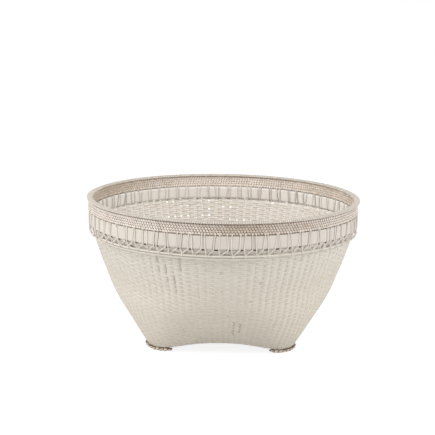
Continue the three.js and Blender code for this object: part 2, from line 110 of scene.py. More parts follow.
class Net:
    """A node tree and the one method that makes any of its nodes."""

    def __init__(self, tree):
        self.tree = tree

    def put(self, kind, inputs=None, **settings):
        node = self.tree.nodes.new(kind)
        for key, value in settings.items():
            setattr(node, key, value)
        for key, value in (inputs or {}).items():
            self.feed(self.socket(node.inputs, key), value)
        return node

    @staticmethod
    def socket(sockets, key):
        if isinstance(key, int):
            return sockets[key]
        named = [s for s in sockets if s.enabled and key in (s.identifier, s.name)]
        return named[0] if named else sockets[key]

    def feed(self, socket, value):
        if isinstance(value, Term):
            value = value.socket
        if isinstance(value, bpy.types.NodeSocket):
            self.tree.links.new(value, socket)
        else:
            socket.default_value = value

    def get(self, kind, inputs=None, output=0, **settings):
        node = self.put(kind, inputs, **settings)
        return Term(self, self.socket(node.outputs, output))

    @staticmethod
    def is_vector(term):
        return isinstance(term, tuple) or isinstance(term, Term) and term.socket.type == "VECTOR"

    def arith(self, operation, *terms):
        vectors = [self.is_vector(term) for term in terms]
        if operation == "MULTIPLY" and any(vectors) and not all(vectors):
            vector, scale = sorted(terms, key=self.is_vector, reverse=True)
            return self.get("ShaderNodeVectorMath", {0: vector, "Scale": scale}, operation="SCALE")
        kind = "ShaderNodeVectorMath" if any(vectors) else "ShaderNodeMath"
        return self.get(kind, dict(enumerate(terms)), operation=operation)

    def call(self, operation, *terms):
        return self.get("ShaderNodeMath", dict(enumerate(terms)), operation=operation)

    def vec(self, operation, *terms):
        return self.get("ShaderNodeVectorMath", dict(enumerate(terms)), operation=operation)

    def xyz(self, x, y, z):
        return self.get("ShaderNodeCombineXYZ", {0: x, 1: y, 2: z})

    def split(self, vector):
        node = self.put("ShaderNodeSeparateXYZ", {0: vector})
        return [Term(self, s) for s in node.outputs]


# The shape of the wall and the base.

def flare_table():
    t = np.linspace(0, 1, 4001)[:, None]
    a, b, c, d = FLARE
    curve = a * (1 - t) ** 3 + 3 * b * t * (1 - t) ** 2 + 3 * c * t ** 2 * (1 - t) + d * t ** 3
    return curve[:, 0], curve[:, 1]


FLARE_WIDTHS, FLARE_HEIGHTS = flare_table()


def half_width(height):
    """From the axis to the wall's outer face."""
    return np.interp(height, FLARE_HEIGHTS, FLARE_WIDTHS)


def smoothstep(x, low, high):
    t = np.clip((np.asarray(x, float) - low) / (high - low), 0, 1)
    return t * t * (3 - 2 * t)


def rounded_square(share, half, corner):
    """The outline of a square with round corners, anticlockwise from the middle of the front side."""
    share, half, corner = np.broadcast_arrays(np.mod(share, 1.0), half, corner)
    straight = half - corner
    arc = corner * math.pi / 2
    side = 2 * straight + arc
    quarter = np.floor(share * 4)
    d = share * 4 * side - quarter * side
    angle = np.clip((d - straight) / corner, 0, math.pi / 2)
    x = np.where(d <= straight, d, straight + corner * np.sin(angle))
    y = np.where(d <= straight + arc, -straight - corner * np.cos(angle), d - arc - 2 * straight)
    turn = quarter * math.pi / 2
    return x * np.cos(turn) - y * np.sin(turn), x * np.sin(turn) + y * np.cos(turn)


def arch(share):
    """How far the lower edge rises between two feet."""
    fall = (1 - np.cos(np.asarray(share) * 8 * math.pi)) / 2
    return ARCH_RISE * (1 - fall ** ARCH_FLATNESS)


def wall(share, height, inset=0.0):
    """A point on the wall, at a depth of inset under its outer face."""
    share, height, inset = np.broadcast_arrays(np.asarray(share, float), height, inset)
    half = half_width(height)
    roundness = smoothstep(height, BASE_EDGE, ROUND_HEIGHT)
    corner = (BASE_CORNER / BASE_HALF_WIDTH * (1 - roundness) + roundness) * half
    fade = np.maximum(0, 1 - (height - BASE_EDGE) / ARCH_FADE) ** 2
    x, y = rounded_square(share, half - inset, corner - inset)
    return np.stack([x, y, height + arch(share) * fade], axis=-1)


def wall_face(share, height):
    """The direction that the wall's outer face looks in."""
    across = wall(share + 1e-4, height) - wall(share - 1e-4, height)
    up = wall(share, height + 0.2) - wall(share, height - 0.2)
    face = np.cross(across, up)
    return face / np.linalg.norm(face, axis=-1, keepdims=True)


def base_height(x, y):
    """The height of the underside of the base. Each point lies on a smaller outline of the same shape,
    whose scale is found by halving."""
    a, b = np.abs(x), np.abs(y)
    a, b = np.minimum(a, b), np.maximum(a, b)
    half, corner = BASE_HALF_WIDTH - EDGE_RADIUS, BASE_CORNER - EDGE_RADIUS
    straight = half - corner
    low, high = np.zeros_like(a), np.full_like(a, 2.0)
    for _ in range(32):
        scale = (low + high) / 2
        reach = np.hypot(np.maximum(a - straight * scale, 0), np.maximum(b - straight * scale, 0))
        outside = reach > corner * scale
        low, high = np.where(outside, scale, low), np.where(outside, high, scale)
    scale = np.maximum((low + high) / 2, 1e-6)
    u, v = a / scale, b / scale
    bend = np.arctan2(np.maximum(u - straight, 0), np.maximum(v - straight, 1e-6))
    distance = np.minimum(u, straight) + corner * bend
    share = distance / (2 * straight + corner * math.pi / 2) / 4
    inner = np.clip(scale, 0, 1.05) ** 2
    return BASE_EDGE + arch(share) * inner + CENTRE_RISE * (1 - inner)


def slope_table():
    """Heights, and the distance to them along the slope of the wall, counted in rows of weavers. The last
    row ends just under the hoops."""
    z = np.linspace(BASE_EDGE + EDGE_RADIUS, HOOP_TOP, 2000)
    slope = np.concatenate([[0], np.cumsum(np.hypot(np.diff(half_width(z)), np.diff(z)))])
    last_row = np.interp(HOOP_LOW - 1.5, z, slope)
    return z, slope / last_row * ROWS


SLOPE_HEIGHTS, SLOPE_ROWS = slope_table()


def level(row):
    """The height of a row of weavers."""
    return np.interp(row, SLOPE_ROWS, SLOPE_HEIGHTS)


def edge(share, slide, depth=0.0):
    """A point on the rounded lower edge, slide mm round it from the wall, and the direction it looks in."""
    share, slide = np.broadcast_arrays(np.asarray(share, float), slide)
    bend = np.minimum(slide / EDGE_RADIUS, math.pi / 2)
    past_bend = np.maximum(slide - EDGE_RADIUS * math.pi / 2, 0)
    inset = EDGE_RADIUS - (EDGE_RADIUS - depth) * np.cos(bend) + past_bend
    x, y = rounded_square(share, BASE_HALF_WIDTH - inset, BASE_CORNER - inset)
    z = BASE_EDGE + EDGE_RADIUS - (EDGE_RADIUS - depth) * np.sin(bend) + arch(share)
    out = wall_face(share, BASE_EDGE + EDGE_RADIUS + 0.5) * [1, 1, 0]
    out /= np.linalg.norm(out, axis=-1, keepdims=True)
    face = out * np.cos(bend)[..., None] - np.array([0, 0, 1]) * np.sin(bend)[..., None]
    return np.stack([x, y, z], axis=-1), face


def ripple(values, size, seed):
    """A smooth closed wobble over shares of a turn."""
    source = np.random.default_rng(seed)
    total = np.zeros_like(values)
    for wave in (3, 5, 8, 13, 21):
        total = total + np.sin(2 * math.pi * (wave * values + source.random())) / wave ** 0.5
    return total * size / 1.6


# Paths and the trees that dress them.

def path_object(name, paths):
    """Separate polylines in one mesh. A path has points and the way its outer side faces there. It may
    have a girth, a tone, how dark its edges are from painted shade and wear, and it closes if asked."""
    points, faces, edges = [], [], []
    marks = {"girth": [], "tone": [], "worn": []}
    usual = {"girth": 1.0, "tone": 0.5, "worn": 0.0}
    start = 0
    for path in paths:
        count = len(path["points"])
        points.append(path["points"])
        faces.append(path["faces"])
        for label, values in marks.items():
            values.append(np.broadcast_to(path.get(label, usual[label]), count))
        run = np.arange(start, start + count)
        edges.append(np.stack([run[:-1], run[1:]], axis=1))
        if path.get("closed"):
            edges.append(np.array([[run[-1], run[0]]]))
        start += count
    mesh = bpy.data.meshes.new(name)
    mesh.from_pydata(np.concatenate(points) * MM, np.concatenate(edges), [])
    layer = mesh.attributes.new("face", "FLOAT_VECTOR", "POINT")
    layer.data.foreach_set("vector", np.concatenate(faces).ravel())
    for label, values in marks.items():
        mesh.attributes.new(label, "FLOAT", "POINT").data.foreach_set("value", np.concatenate(values))
    piece = bpy.data.objects.new(name, mesh)
    bpy.context.scene.collection.objects.link(piece)
    return piece


def new_tree(name, sizes):
    """A geometry tree with a geometry in and out, and named inputs of the given kinds."""
    tree = bpy.data.node_groups.new(name, "GeometryNodeTree")
    tree.interface.new_socket("Geometry", in_out="INPUT", socket_type="NodeSocketGeometry")
    for label, kind in sizes.items():
        tree.interface.new_socket(label, in_out="INPUT", socket_type="NodeSocket" + kind)
    tree.interface.new_socket("Geometry", in_out="OUTPUT", socket_type="NodeSocketGeometry")
    net = Net(tree)
    source = net.put("NodeGroupInput")
    given = {s.name: Term(net, s) for s in source.outputs if s.name}
    return net, given


def end_tree(net, geometry, material):
    real = net.get("GeometryNodeRealizeInstances", {0: geometry})
    smooth = net.get("GeometryNodeSetShadeSmooth", {0: real})
    done = net.get("GeometryNodeSetMaterial", {0: smooth, "Material": material})
    net.put("NodeGroupOutput", {0: done})
    return net.tree


def sweep_strand(net, curve, given, face, girth):
    """Sweeps a flat crowned section along a curve whose outer side looks along face."""
    turned = net.get("GeometryNodeSetCurveNormal", {"Curve": curve, "Normal": face}, mode="FREE")
    circle = net.get("GeometryNodeCurvePrimitiveCircle", {"Resolution": given["Sides"], "Radius": 1.0})
    x, y, _ = net.split(net.get("GeometryNodeInputPosition"))
    outward = net.call("ABSOLUTE", x) ** given["Squareness"]
    across = net.call("ABSOLUTE", y) ** given["Squareness"]
    marked = net.get("GeometryNodeStoreNamedAttribute", {0: circle, "Name": "across", "Value": across},
                     data_type="FLOAT")
    place = net.xyz(net.call("SIGN", x) * outward * given["Thickness"] * 0.5,
                    net.call("SIGN", y) * across * given["Width"] * 0.5, 0.0)
    section = net.get("GeometryNodeSetPosition", {0: marked, "Position": place})
    return net.get("GeometryNodeCurveToMesh", {
        "Curve": turned, "Profile Curve": section, "Scale": girth, "Fill Caps": True})


STRAND_SIZES = {"Width": "Float", "Thickness": "Float", "Sides": "Int", "Squareness": "Float",
                "Material": "Material"}


def strip_tree():
    """Flat strips along the paths of the mesh."""
    net, given = new_tree("strips along paths", STRAND_SIZES)
    face = net.get("GeometryNodeInputNamedAttribute", {"Name": "face"}, data_type="FLOAT_VECTOR")
    girth = net.get("GeometryNodeInputNamedAttribute", {"Name": "girth"}, data_type="FLOAT")
    curve = net.get("GeometryNodeMeshToCurve", {0: given["Geometry"]})
    return end_tree(net, sweep_strand(net, curve, given, face, girth), given["Material"])


def winding_tree():
    """A strand wound round the paths of the mesh, in an oval of a given width and height. Its turns swell
    unevenly, with a given number of lumps in a metre."""
    net, given = new_tree("strand wound round a path", {
        "Turns": "Int", "Steps": "Int", "Oval Width": "Float", "Oval Height": "Float",
        "Unevenness": "Float", "Lumps": "Float", "Seed": "Int", **STRAND_SIZES})
    curve = net.get("GeometryNodeMeshToCurve", {0: given["Geometry"]})
    count = given["Turns"] * given["Steps"] + 1.0
    dense = net.get("GeometryNodeResampleCurve", {"Curve": curve, "Count": count})
    along = net.get("GeometryNodeInputTangent")
    side = net.vec("NORMALIZE", net.vec("CROSS_PRODUCT", along, (0.0, 0.0, 1.0)))
    above = net.vec("CROSS_PRODUCT", side, along)
    index = net.get("GeometryNodeInputIndex")
    angle = index * 2 * math.pi / given["Steps"]
    place = net.get("GeometryNodeInputPosition") * given["Lumps"] + net.xyz(given["Seed"], 0.0, 0.0)
    lumps = net.get("ShaderNodeTexNoise", {"Vector": place, "Detail": 1.0})
    swell = 1.0 + (lumps - 0.5) * given["Unevenness"]
    cosine, sine = net.call("COSINE", angle), net.call("SINE", angle)
    sideways = side * (cosine * given["Oval Width"] * 0.5 * swell)
    offset = sideways + above * (sine * given["Oval Height"] * 0.5 * swell)
    face = side * (cosine * given["Oval Height"]) + above * (sine * given["Oval Width"])
    kept = net.put("GeometryNodeCaptureAttribute", {0: dense})
    kept.capture_items.new("VECTOR", "Face")
    net.feed(kept.inputs[1], net.vec("NORMALIZE", face))
    wound = net.get("GeometryNodeSetPosition", {0: Term(net, kept.outputs[0]), "Offset": offset})
    strand = sweep_strand(net, wound, given, Term(net, kept.outputs[1]), 1.0)
    return end_tree(net, strand, given["Material"])


def dress(piece, tree, sizes):
    """Puts a tree on a path object and turns the result into a plain mesh."""
    modifier = piece.modifiers.new("make", "NODES")
    modifier.node_group = tree
    for item in tree.interface.items_tree:
        if item.in_out == "INPUT" and item.name in sizes:
            modifier[item.identifier] = sizes[item.name]
    bpy.context.view_layer.update()
    depsgraph = bpy.context.evaluated_depsgraph_get()
    mesh = bpy.data.meshes.new_from_object(piece.evaluated_get(depsgraph))
    piece.modifiers.clear()
    old = piece.data
    piece.data = mesh
    bpy.data.meshes.remove(old)
    mesh.name = piece.name
    return piece


def hand_in(piece, slot, *nodes):
    """Gives a piece its body and hides the solids that it takes the place of.
    The slot is not used.
    """
    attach(piece, "root")
    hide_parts(*nodes)


# Finishes.

# Heights of the painted shade of small openings under the hoop and of the painted shadow over the lower
# rod, and of the corner under the inner hoop where painted light lifts the shadow.
HOLE_SHADE_HEIGHT, ROD_SHADOW_HEIGHT, LIFTED_SHADOW_HEIGHT = HOOP_LOW - 1.8, LOWER_ROD_HEIGHT + 3.4, HOOP_LOW - 3

# Where the tint of the foot of the wall starts and is full, and the same for the bare cane and painted
# shade in the grooves between the coil's canes, as heights and as distances from their middle line.
FOOT_TINT_START, FOOT_TINT_FULL = 280.0, 140.0
GROOVE_SHADE_START, GROOVE_SHADE_FULL = 2.4, 2.1


def shade(net, colour, value, start, end, tint, most=1.0):
    """Mixes a tint into a colour as value goes from start to end."""
    amount = net.get("ShaderNodeMapRange", {
        "Value": value, "From Min": start, "From Max": end, "To Min": 0.0, "To Max": most})
    return net.get("ShaderNodeMix", {"Factor_Float": amount, "A_Color": colour, "B_Color": (*tint, 1)},
                   output="Result_Color", data_type="RGBA")


def mark(net, name):
    """A number that the mesh carries at its points."""
    return net.get("ShaderNodeAttribute", output="Fac", attribute_name=name)


def paint_seam_shade(net, colour, z, outward, tint):
    """Painted shade at the ends of the coil's stitches, in the gaps above and below the stack of canes."""
    middle = (COIL_LOW + COIL_TOP) / 2 * MM + 0.0006
    half = (COIL_TOP - COIL_LOW) / 2 * MM
    away = net.call("ABSOLUTE", z - middle) + outward * 0.0006 + mark(net, "across") * 0.0006 - 0.0007
    return shade(net, colour, away, half - 0.0003, half + 0.0008, tint)


def paint_hole_shade(net, colour, place, outward, tint):
    """Painted shade between the pairs of lashing strands: dark spots that stand for small shaded openings.
    One row is close under the hoop and fainter inside. The other is a painted shadow behind the zigzag of
    the strands above the lower rod, and never takes on its full tint. Aside is measured in pairs and up and
    down in metres, each times how sharp the hole's edge is."""
    x, y, z = place
    pair = net.call("ARCTAN2", x, -y) / (2 * math.pi) * PAIRS
    aside = net.call("ABSOLUTE", (pair % 1.0) - 0.5)
    under_hoop = net.call("ABSOLUTE", z - HOLE_SHADE_HEIGHT * MM)
    inside = net.call("LESS_THAN", outward, 0.0)
    away = net.call("MAXIMUM", aside * 5.0, under_hoop * 520.0) + inside * 0.6
    colour = shade(net, colour, away, 1.1, 0.7, tint)
    over_rod = net.call("ABSOLUTE", z - ROD_SHADOW_HEIGHT * MM)
    away = net.call("MAXIMUM", 1.1 - aside * 2.4, over_rod * 420.0 - outward)
    return shade(net, colour, away, 0.65, -1.3, tint)


def cane_finish(name, light, dark, wear, grain=90.0, rough=0.62, relief=0.12, low=None, bare_groove_and_shade=None,
                seam_shade=None, shaded_worn_edges=None, strand_shadow=None, hole_shade=None, inner=None, lifted_shadow=None, top=None):
    """Whitened cane: a pale wash over tan cane, thin in places, with fine grain. The other tints are for
    the foot of the wall, bare cane with painted shade in the grooves, painted shade above and below the
    coil, painted shade and wear along the edges of a strip, painted shadow beside a strand, painted shade
    of small openings under the hoop and painted shadow over the lower rod, painted shade on the inner side,
    painted light that lifts the shadow under the inner hoop, and painted shade on faces that look up."""
    material = bpy.data.materials.new(name)
    material.use_nodes = True
    net = Net(material.node_tree)
    shader = net.tree.nodes["Principled BSDF"]
    place = net.get("ShaderNodeTexCoord", output="Object")
    broad = net.get("ShaderNodeTexNoise", {"Vector": place, "Scale": 22.0, "Detail": 3.0})
    patch = net.get("ShaderNodeTexNoise", {
        "Vector": place * (1.0, 1.0, 2.2), "Scale": grain, "Detail": 2.0})
    fine = net.get("ShaderNodeTexNoise", {"Vector": place, "Scale": 900.0, "Detail": 2.0})
    x, y, z = net.split(place)
    nx, ny, nz = net.split(net.get("ShaderNodeNewGeometry", output="True Normal"))
    radius = net.call("SQRT", x * x + y * y)
    outward = (x * nx + y * ny) / radius
    thin = patch * 0.6 + broad * 0.25 + mark(net, "tone") * 0.3 + fine * 0.1
    colour = shade(net, (*light, 1), thin, 0.42, 0.86, dark, wear)
    if low:
        colour = shade(net, colour, z, FOOT_TINT_START * MM, FOOT_TINT_FULL * MM, low)
    # Bare cane with painted shade in the grooves between the coil's canes.
    if bare_groove_and_shade:
        from_middle = net.call("ABSOLUTE", radius - COIL_RADIUS * MM)
        colour = shade(net, colour, from_middle, GROOVE_SHADE_START * MM, GROOVE_SHADE_FULL * MM, bare_groove_and_shade)
    # Painted shade along the top and the bottom of the coil's stitches.
    if seam_shade:
        colour = paint_seam_shade(net, colour, z, outward, seam_shade)
    # Painted shade in the gaps between strips and in the pits of the coil's stitches, with some wear,
    # darkens the edges of a strip.
    if shaded_worn_edges:
        edge_darkness = mark(net, "across") + mark(net, "worn") + outward * 0.08
        colour = shade(net, colour, edge_darkness, 0.86, 1.18, shaded_worn_edges)
    # Painted shadow beside the lashing strands on a hoop.
    if strand_shadow:
        colour = shade(net, colour, mark(net, "strand_shadow"), 0.0, 1.0, strand_shadow)
    # Painted shade on the inner faces of the wall.
    if inner:
        colour = shade(net, colour, outward, 0.0, -0.4, inner)
    # Painted light on the inner face under the inner hoop, which lifts the hoop's shadow there.
    if lifted_shadow:
        from_corner = net.call("ABSOLUTE", z - LIFTED_SHADOW_HEIGHT * MM)
        away = net.call("MAXIMUM", from_corner * 500.0, outward * 3.0 + 3.0)
        colour = shade(net, colour, away, 2.2, 1.0, lifted_shadow)
    # Painted shade of small openings under the hoop, and painted shadow behind the zigzag over the lower
    # rod.
    if hole_shade:
        colour = paint_hole_shade(net, colour, (x, y, z), outward, hole_shade)
    # Painted shade on faces that look up, broken up by the grain noise.
    if top:
        colour = shade(net, colour, nz + (patch - 0.5) * 1.6, 0.15, 0.8, top)
    net.feed(shader.inputs["Base Color"], colour)
    net.feed(shader.inputs["Roughness"], rough + (patch - 0.5) * 0.25)
    shader.inputs["Specular IOR Level"].default_value = 0.3
    bump = net.get("ShaderNodeBump", {"Strength": relief, "Distance": 0.0004, "Height": fine + patch * 0.6})
    net.feed(shader.inputs["Normal"], bump)
    return material


def linear(*channels):
    """Colour channels from 0 to 255 as seen on a screen, as light."""
    return tuple(((c / 255 + 0.055) / 1.055) ** 2.4 for c in channels)


# The first colour is painted shade in small openings and behind the lower rod; the second is painted light
# that lifts the shadow under the inner hoop.
HOLE_SHADE, LIFTED_SHADOW_COLOUR = linear(92, 70, 50), linear(240, 235, 227)
STAKE_FINISH = cane_finish(
    "whitened stake", linear(220, 214, 206), linear(204, 197, 185), wear=0.8, low=linear(215, 207, 194),
    hole_shade=HOLE_SHADE, inner=linear(214, 207, 197), lifted_shadow=LIFTED_SHADOW_COLOUR)
WEAVER_FINISH = cane_finish(
    "whitened weaver", linear(228, 223, 216), linear(214, 207, 197), wear=0.8, low=linear(219, 211, 198),
    shaded_worn_edges=linear(128, 110, 90), hole_shade=HOLE_SHADE, inner=linear(217, 210, 200), lifted_shadow=LIFTED_SHADOW_COLOUR)
HOOP_FINISH = cane_finish(
    "whitened hoop", linear(211, 203, 194), linear(197, 188, 177), wear=0.6, rough=0.5, grain=60.0,
    relief=0.05, strand_shadow=linear(112, 94, 76))
INNER_HOOP_FINISH = cane_finish(
    "whitened hoop inside", linear(228, 223, 217), linear(216, 210, 202), wear=0.6, rough=0.5, grain=60.0,
    relief=0.05, strand_shadow=linear(106, 80, 58))
STRAND_FINISH = cane_finish(
    "whitened strand", linear(215, 208, 198), linear(200, 190, 176), wear=0.6, rough=0.55)
LASHING_FINISH = cane_finish(
    "lashing strand", linear(224, 217, 208), linear(208, 199, 187), wear=0.6, rough=0.55,
    shaded_worn_edges=linear(160, 142, 122))
STITCH_FINISH = cane_finish(
    "coil stitches", linear(230, 220, 210), linear(186, 169, 151), wear=0.9, seam_shade=linear(132, 108, 84),
    shaded_worn_edges=linear(146, 122, 98))
ROD_FINISH = cane_finish(
    "coil cane", linear(206, 190, 172), linear(184, 164, 140), wear=0.9, bare_groove_and_shade=linear(48, 32, 22))
BORDER_FINISH = cane_finish(
    "border wrapping", linear(221, 214, 205), linear(204, 193, 179), wear=0.7, shaded_worn_edges=linear(150, 130, 108),
    top=linear(188, 180, 169))
FOOT_FINISH = cane_finish(
    "foot wrapping", linear(228, 218, 206), linear(198, 182, 163), wear=1.0, shaded_worn_edges=linear(112, 92, 70),
    top=linear(96, 76, 56))
CORE_FINISH = cane_finish("bare cane", linear(130, 104, 76), linear(92, 68, 48), wear=1.0)

STRIP, WINDING = strip_tree(), winding_tree()


# Woven wall and base.

random = np.random.default_rng(11)

# Columns of the wall, and their rows, where the weave is loose.
LOOSE_PLACES = [
    (95, 42, 50), (98, 43, 51), (97, 30, 42), (96, 33, 46), (97, 8, 11), (1, 6, 16), (2, 7, 16), (7, 9, 15),
    (94, 21, 22), (9, 47, 49), (4, 38, 39)]

# Columns and rows of the wall where light comes through.
PINHOLES = [
    (59, 52), (58, 52), (54, 52), (53, 52), (44, 52), (57, 50), (56, 50), (55, 50), (54, 50), (51, 49),
    (50, 49), (53, 48), (59, 45), (58, 45), (57, 45), (56, 45), (54, 45), (53, 45), (50, 43), (49, 43),
    (48, 43), (47, 43)]


def weavers(name, first, last):
    """Rows of weavers round the wall. Each passes over one stake and under the next. It is narrow in a few
    loose places, where painted shade darkens its edges, and is shifted and narrow where the wall has
    pinholes.
    Rows below row 0 lie round the lower edge."""
    paths = []
    share = (np.arange(4 * STAKES) + 0.5) / (4 * STAKES)
    for row in range(first, last):
        beat = np.cos(math.pi * (STAKES * share - 0.5 + row))
        weave = beat * (1.5 - 0.5 * beat ** 2)
        out = weave * (STAKE_THICKNESS + WEAVER_THICKNESS) / 2 * WEAVER_SWING
        lift = np.zeros((STAKES, 4))
        for column, hole_row in PINHOLES:
            if row in (hole_row, hole_row + 1):
                lift[column, 3] = lift[column + 1, 0] = PINHOLE_LIFT if row > hole_row else -PINHOLE_LIFT
        if row < 0:
            middle, face = edge(share, -EDGE_ROW_STEP * (row + 0.5), WEAVE_DEPTH)
        else:
            height = level(row + 0.5 + ripple(share, 0.05, row) + lift.ravel())
            middle, face = wall(share, height, WEAVE_DEPTH), wall_face(share, height)
        tone = random.random((STAKES, 1)) * 0.7 + random.random() * 0.3 + np.zeros(4)
        narrow = random.random(STAKES) < SLIM_CHANCE
        for column, low, high in LOOSE_PLACES:
            narrow[column] |= low <= row < high and random.random() < SLIM_CHANCE_LOOSE
        girth = np.ones((STAKES, 4))
        # Painted shade along a weaver's edges, a little stronger midway along each pass, with random wear.
        worn = np.tile([-0.04, 0.08, 0.08, -0.04], (STAKES, 1)) + random.uniform(-0.06, 0.06, (STAKES, 1))
        # At loose places the narrow weaver's edges take painted shade.
        for place, marks, shade_amount in ((3, narrow, 0.6), (0, np.roll(narrow, 1), 0.15)):
            girth[marks, place] = SLIM_WEAVER
            worn[marks, place] = shade_amount
        girth[lift != 0] = PINHOLE_GIRTH
        paths.append({"points": middle + face * out[:, None], "faces": face, "closed": True,
                      "girth": girth.ravel() + ripple(share, 0.02, row + 500), "tone": tone.ravel(),
                      "worn": worn.ravel()})
    return dress(path_object(name, paths), STRIP, {
        "Width": WEAVER_WIDTH * MM, "Thickness": WEAVER_THICKNESS * MM, "Sides": 6, "Squareness": 0.6,
        "Material": WEAVER_FINISH})


def stake_widths():
    """Heights, and how wide a stake is there: it fills nearly all of its share of the wall."""
    heights = np.linspace(BASE_EDGE, HOOP_TOP, 12)
    shares = np.arange(960) / 960
    widths = []
    for height in heights:
        outline = wall(shares, height)[:, :2]
        girth = np.linalg.norm(outline - np.roll(outline, 1, axis=0), axis=1).sum()
        widths.append(girth / STAKES * STAKE_FILL)
    return heights, widths


STAKE_WIDTHS = stake_widths()


def stakes(name, turned):
    """Flat stakes that come down one side of the wall, cross the base and go up the opposite side. They are
    slimmer high on the opposite side, where the wall has pinholes."""
    paths = []
    count = STAKES // 4
    across = 4 * count + 1
    rows = np.arange(ROWS + 6, 0, -1) - 0.5
    for order in range(count):
        number = order - count // 2
        share = (number + 0.5 + random.uniform(-0.07, 0.07)) / STAKES
        height = np.minimum(level(rows), HOOP_TOP - 1)
        beat = np.where((rows - 0.5 + number) % 2 == 0, -1.0, 1.0) * STAKE_SWING
        face = wall_face(share, height)
        down = wall(share, height, WEAVE_DEPTH) + face * beat[:, None]
        bend, bend_face = edge(share, np.array([1.5, 3.5, 5.5]), WEAVE_DEPTH)
        x = np.full(across, bend[-1][0])
        y = np.linspace(bend[-1][1] + 2.5, -bend[-1][1] - 2.5, across)
        crossing = np.cos(math.pi * (np.arange(across) / 4 + order + int(turned)))
        z = base_height(x, y) + BASE_MIDDLE + BASE_SWING * crossing
        floor = np.stack([x, y, z], axis=-1)
        below = np.tile([0.0, 0.0, -1.0], (across, 1))
        down = np.concatenate([down, bend])
        face = np.concatenate([face, bend_face])
        points = np.concatenate([down, floor, down[::-1] * [1, -1, 1]])
        faces = np.concatenate([face, below, face[::-1] * [1, -1, 1]])
        wide = np.interp(points[:, 2], *STAKE_WIDTHS)
        wide[-len(down):] *= np.where(down[::-1, 2] > SLIM_STAKE_HEIGHT, SLIM_STAKE, 1.0)
        if turned:
            points = points[:, [1, 0, 2]] * [-1, 1, 1]
            faces = faces[:, [1, 0, 2]] * [-1, 1, 1]
        paths.append({"points": points, "faces": faces, "girth": wide * random.uniform(0.96, 1.03),
                      "tone": random.random()})
    return dress(path_object(name, paths), STRIP, {
        "Width": MM, "Thickness": STAKE_THICKNESS * MM / USUAL_STAKE_WIDTH, "Sides": 6, "Squareness": 0.45,
        "Material": STAKE_FINISH})


# The weavers are two pieces, under and over one row, so that each stays light.
MIDDLE_ROW = 26
hand_in(weavers("weavers_lower", -ROWS_ROUND_EDGE, MIDDLE_ROW), "weave", "woven_body")
hand_in(weavers("weavers_upper", MIDDLE_ROW, ROWS), "weave", "woven_body")
hand_in(stakes("stakes_front_to_back", False), "weave", "woven_body")
hand_in(stakes("stakes_side_to_side", True), "weave", "woven_body")


# Rim.

def around(turn, radius, height):
    """Points at shares of a turn from the front, anticlockwise seen from above."""
    angle, radius, height = np.broadcast_arrays(2 * math.pi * np.asarray(turn, float), radius, height)
    return np.stack([radius * np.sin(angle), -radius * np.cos(angle), height], axis=-1)


def ring_piece(name, outline, count, material, strand_shadow=None):
    """Turns a closed outline of (radius, height) points round the axis, outer side first on the way up.
    Its last argument gives the painted shadow beside strands at a share of a turn and a height."""
    turn = np.arange(count) / count
    outline = np.asarray(outline, float)
    size = len(outline)
    points = around(turn[:, None], outline[:, 0], outline[:, 1]).reshape(-1, 3)
    faces = []
    for k in range(count):
        for j in range(size):
            this, following = k * size, (k + 1) % count * size
            faces.append((this + j, following + j, following + (j + 1) % size, this + (j + 1) % size))
    mesh = bpy.data.meshes.new(name)
    mesh.from_pydata(points * MM, [], faces)
    mesh.polygons.foreach_set("use_smooth", [True] * len(faces))
    mesh.materials.append(material)
    if strand_shadow:
        shades = np.stack([strand_shadow(turn, z) for z in outline[:, 1]], axis=1)
        mesh.attributes.new("strand_shadow", "FLOAT", "POINT").data.foreach_set("value", shades.ravel())
    piece = bpy.data.objects.new(name, mesh)
    bpy.context.scene.collection.objects.link(piece)
    return piece


def oval(radius, height, wide, high):
    """The outline of a round or oval cane at a radius and height."""
    bend = np.arange(12) * math.pi / 6
    return np.stack([radius + wide / 2 * np.cos(bend), height + high / 2 * np.sin(bend)], axis=-1)


class Pairs:
    """The pairs of strands on one face of a hoop: uneven gaps that widen, lean or bow on the way down.
    Half is half the width of a strand, line the width of the painted shadow lines beside it, and the last
    how dark these painted lines are at shares of a turn."""

    def __init__(self, seed, half, line, shade_amount):
        source = np.random.default_rng(seed)
        self.beside, self.line = half + 0.3, line
        self.middle = (np.arange(PAIRS) + 0.5 + np.random.default_rng(5).uniform(-0.1, 0.1, PAIRS)) / PAIRS
        self.top_gap, self.low_gap = source.uniform(2.6, 10.0, (2, PAIRS))
        self.bow, self.lean = source.uniform(-2.2, 2.2, PAIRS), source.uniform(-2.8, 2.8, PAIRS)
        depth = source.uniform(0.25, 1.0, (PAIRS, 4)) ** 1.7
        self.depth = depth * np.interp(self.middle, *zip(*shade_amount))[:, None]

    def turn(self, number, side, height):
        """The share of a turn where the first (-1) or second (1) strand of a pair lies."""
        t = (HOOP_TOP - np.clip(height, HOOP_LOW, HOOP_TOP)) / (HOOP_TOP - HOOP_LOW)
        top_gap, low_gap, bow = self.top_gap[number], self.low_gap[number], self.bow[number]
        gap = (top_gap * (1 - t) + low_gap * t + bow * 4 * t * (1 - t)) / 2
        sideways = side * gap + self.lean[number] * (0.5 - t)
        return self.middle[number] + sideways / (2 * math.pi * RIM_RADIUS)

    def shade(self, turn, height):
        """Painted shadow: the soft dark lines on both sides of each strand."""
        total = np.zeros_like(turn)
        for number in range(PAIRS):
            for side in (-1, 1):
                away = turn - self.turn(number, side, height)
                away = (away - np.round(away)) * 2 * math.pi * RIM_RADIUS
                for edge_side in (-1, 1):
                    depth = self.depth[number, side + 1 + (edge_side + 1) // 2]
                    total += depth * np.exp(-((away - edge_side * self.beside) / self.line) ** 2)
        return np.minimum(total, 1.0)


